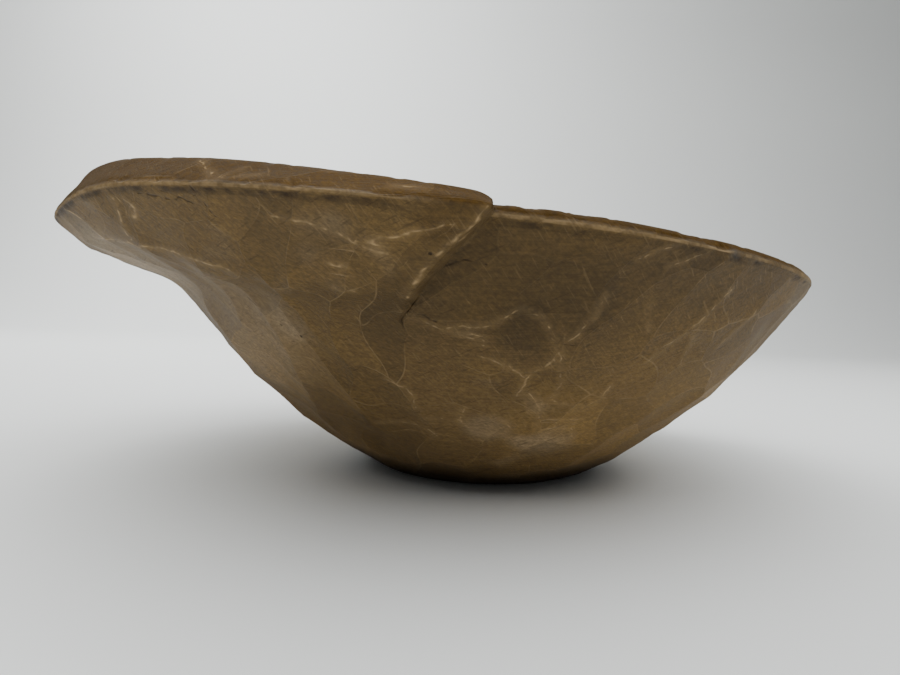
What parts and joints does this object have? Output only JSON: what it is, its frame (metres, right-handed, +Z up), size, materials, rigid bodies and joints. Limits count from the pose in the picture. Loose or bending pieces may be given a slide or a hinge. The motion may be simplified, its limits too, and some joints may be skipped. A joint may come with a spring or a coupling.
{
  "type": "carved wooden bowl",
  "caption": "Round hand-hewn wooden bowl on a flat foot, with a thick overhanging crescent ledge along one side and a thin rim on the other.",
  "frame": {"origin": "centre of the foot, on the surface that the bowl stands on", "axes": "+Z up, +X toward the thin rim, -X toward the tip of the overhanging ledge"},
  "size_m": [0.3945, 0.3916, 0.148],
  "materials": {
    "wood": "worn, hand-adzed, dull satin"
  },
  "bodies": {
    "root": {"bowl": "wood"}
  },
  "joints": []
}
